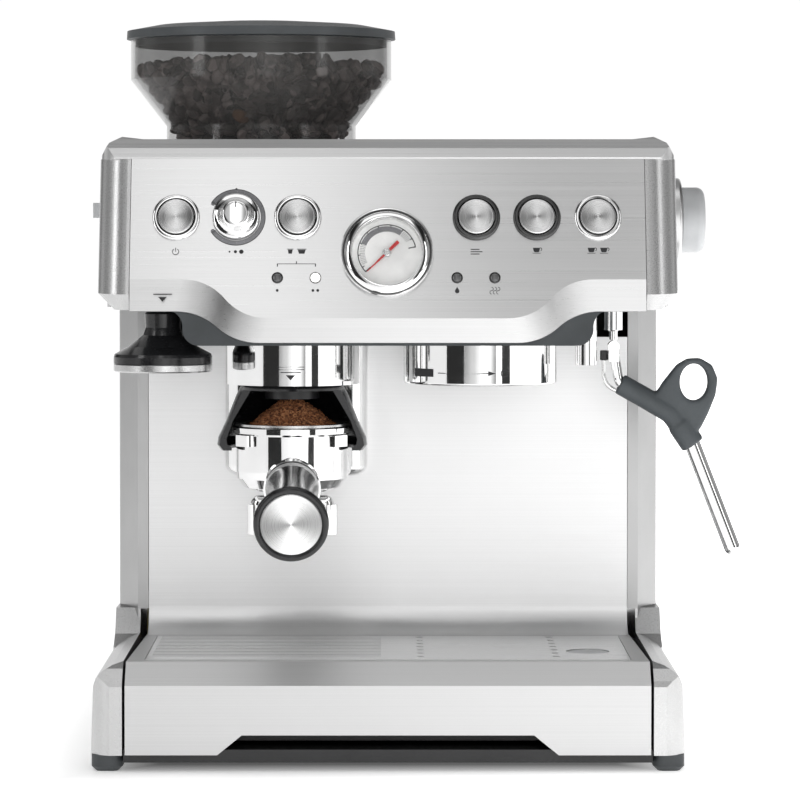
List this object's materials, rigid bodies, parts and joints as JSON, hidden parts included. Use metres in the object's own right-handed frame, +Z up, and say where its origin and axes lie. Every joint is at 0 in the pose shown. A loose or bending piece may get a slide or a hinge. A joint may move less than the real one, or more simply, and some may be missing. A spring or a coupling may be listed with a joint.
{
  "type": "espresso machine",
  "caption": "Countertop pump espresso machine with built-in burr grinder, bean hopper, pressure gauge, portafilter, steam wand and sliding drip tray.",
  "frame": {"origin": "middle of the bounding box's underside, on the worktop", "axes": "+X to the machine's right as seen from its front, +Y to the back (the front faces -Y), +Z up"},
  "size_m": [0.3633, 0.3738, 0.4106],
  "materials": {
    "brushed_steel": "horizontal brushed",
    "satin_silver": "silver paint, satin",
    "chrome": "polished",
    "stainless": "satin",
    "button_steel": "radial brushed",
    "dark_grey": "moulded",
    "black_plastic": "moulded",
    "light_grey": "satin moulded",
    "smoke_clear": "clear smoked",
    "tank_clear": "clear grey",
    "rubber": "matt",
    "silicone": "soft matt",
    "gauge_white": "matt print",
    "needle_red": "satin",
    "glass": "clear",
    "lens": "frosted",
    "board": "solder mask",
    "aluminium": "cast",
    "motor_can": "plated",
    "gear_plastic": "nylon"
  },
  "bodies": {
    "root": {"base_pan": "black_plastic", "base_sides": "satin_silver", "feet": "dark_grey", "splash_panel": "brushed_steel", "column_trims": "satin_silver", "side_panels": "brushed_steel", "back_housing": "black_plastic", "head_skirt": "dark_grey", "head_ends": "satin_silver", "head_fascia": "brushed_steel", "top_cover": "brushed_steel", "button_rings": "chrome", "led_lenses": "lens", "gauge_bezel": "chrome", "gauge_face": "gauge_white", "gauge_glass": "glass", "circuit_boards": "board", "grinder_housing": "black_plastic", "grinder_motor": "motor_can", "grind_outlet": "chrome", "grind_cradle": "dark_grey", "brew_head": "chrome", "shower_screen": "stainless", "group_gasket": "rubber", "thermocoil": "aluminium", "pump": "black_plastic", "water_hoses": "rubber", "hot_water_spout": "chrome", "steam_valve": "chrome", "case_screws": "stainless", "cord_gland": "rubber"},
    "gauge_needle": {"gauge_needle": "needle_red"},
    "power_button": {"power_button": "button_steel"},
    "filter_button": {"filter_button": "button_steel"},
    "program_button": {"program_button": "button_steel"},
    "one_cup_button": {"one_cup_button": "button_steel"},
    "two_cup_button": {"two_cup_button": "button_steel"},
    "grind_dial": {"grind_dial": "button_steel"},
    "steam_dial": {"steam_dial": "light_grey"},
    "grind_size_dial": {"grind_size_dial": "light_grey"},
    "bean_hopper": {"bean_hopper": "smoke_clear"},
    "hopper_lid": {"hopper_lid": "dark_grey"},
    "ring_burr": {"ring_burr": "stainless"},
    "burr_spindle": {"burr_spindle": "stainless"},
    "motor_pinion": {"motor_pinion": "gear_plastic"},
    "grind_switch": {"grind_switch": "black_plastic"},
    "steam_ball": {"steam_ball": "chrome"},
    "tray_grill": {"tray_grill": "brushed_steel"},
    "tray_float": {"tray_float": "light_grey"},
    "water_tank": {"water_tank": "tank_clear"},
    "tank_lid": {"tank_lid": "black_plastic"},
    "steam_wand": {"steam_wand": "chrome", "steam_grip": "silicone"},
    "drip_tray": {"drip_tray": "black_plastic", "tray_front": "brushed_steel"},
    "tamper": {"tamper_handle": "black_plastic", "tamper_base": "stainless"},
    "portafilter": {"portafilter_body": "chrome", "portafilter_handle": "black_plastic", "filter_basket": "stainless"}
  },
  "joints": [
    {"name": "power_press", "type": "slide", "parent": "root", "child": "power_button", "axis": [0, 0.9563, -0.2924], "range_m": [0, 0.0015], "stiffness_N_per_m": 400},
    {"name": "filter_press", "type": "slide", "parent": "root", "child": "filter_button", "axis": [0, 0.9563, -0.2924], "range_m": [0, 0.0015], "stiffness_N_per_m": 400},
    {"name": "program_press", "type": "slide", "parent": "root", "child": "program_button", "axis": [0, 0.9563, -0.2924], "range_m": [0, 0.0015], "stiffness_N_per_m": 400},
    {"name": "one_cup_press", "type": "slide", "parent": "root", "child": "one_cup_button", "axis": [0, 0.9563, -0.2924], "range_m": [0, 0.0015], "stiffness_N_per_m": 400},
    {"name": "two_cup_press", "type": "slide", "parent": "root", "child": "two_cup_button", "axis": [0, 0.9563, -0.2924], "range_m": [0, 0.0015], "stiffness_N_per_m": 400},
    {"name": "grind_amount_turn", "type": "hinge", "parent": "root", "child": "grind_dial", "pos_m": [-0.0961, -0.09193, 0.29798], "axis": [0, -0.9563, 0.2924], "range_deg": [-150, 150]},
    {"name": "gauge_sweep", "type": "hinge", "parent": "root", "child": "gauge_needle", "pos_m": [-0.0142, -0.09777, 0.27885], "axis": [0, -0.9563, 0.2924], "range_deg": [-211, 0], "stiffness_Nm_per_rad": 0.002},
    {"name": "steam_dial_turn", "type": "hinge", "parent": "root", "child": "steam_dial", "pos_m": [0.1513, -0.0041, 0.2966], "axis": [1, 0, 0], "range_deg": [-60, 60]},
    {"name": "grind_size_turn", "type": "hinge", "parent": "root", "child": "grind_size_dial", "pos_m": [-0.1737, 0.0279, 0.302], "axis": [-1, 0, 0], "range_deg": [-100, 100]},
    {"name": "ring_burr_turn", "type": "hinge", "parent": "root", "child": "ring_burr", "pos_m": [-0.0867, 0.0359, 0.28], "axis": [0, 0, 1], "range_deg": [-25, 25]},
    {"name": "hopper_lift", "type": "slide", "parent": "root", "child": "bean_hopper", "axis": [0, 0, 1], "range_m": [0, 0.09]},
    {"name": "lid_lift", "type": "slide", "parent": "bean_hopper", "child": "hopper_lid", "axis": [0, 0, 1], "range_m": [0, 0.06]},
    {"name": "burr_spin", "type": "hinge", "parent": "root", "child": "burr_spindle", "pos_m": [-0.0867, 0.0359, 0.26], "axis": [0, 0, 1], "continuous": true},
    {"name": "pinion_spin", "type": "hinge", "parent": "root", "child": "motor_pinion", "pos_m": [-0.0867, 0.0809, 0.24], "axis": [0, 0, 1], "continuous": true},
    {"name": "grind_switch_press", "type": "slide", "parent": "root", "child": "grind_switch", "axis": [0, 1, 0], "range_m": [0, 0.002], "stiffness_N_per_m": 300},
    {"name": "wand_swivel", "type": "hinge", "parent": "root", "child": "steam_ball", "pos_m": [0.1112, -0.0521, 0.2386], "axis": [0, 0, 1], "range_deg": [-100, 20]},
    {"name": "wand_tilt", "type": "hinge", "parent": "steam_ball", "child": "steam_wand", "pos_m": [0.1112, -0.0521, 0.2265], "axis": [0, -1, 0], "range_deg": [-15, 20]},
    {"name": "tray_slide", "type": "slide", "parent": "root", "child": "drip_tray", "axis": [0, -1, 0], "range_m": [0, 0.16]},
    {"name": "grill_lift", "type": "slide", "parent": "drip_tray", "child": "tray_grill", "axis": [0, 0, 1], "range_m": [0, 0.05]},
    {"name": "float_rise", "type": "slide", "parent": "drip_tray", "child": "tray_float", "axis": [0, 0, 1], "range_m": [0, 0.008]},
    {"name": "tamper_pull", "type": "slide", "parent": "root", "child": "tamper", "axis": [0, 0, -1], "range_m": [0, 0.06]},
    {"name": "portafilter_slide", "type": "slide", "parent": "root", "child": "portafilter", "axis": [0, -1, 0], "range_m": [0, 0.12]},
    {"name": "tank_lift", "type": "slide", "parent": "root", "child": "water_tank", "axis": [0, 0, 1], "range_m": [0, 0.2]},
    {"name": "tank_lid_open", "type": "hinge", "parent": "water_tank", "child": "tank_lid", "pos_m": [-0.0137, 0.1249, 0.338], "axis": [1, 0, 0], "range_deg": [0, 85]}
  ],
  "couplings": [
    {"joint": "ring_burr_turn", "follows": "grind_size_turn", "ratio": 0.25},
    {"joint": "pinion_spin", "follows": "burr_spin", "ratio": -5}
  ]
}
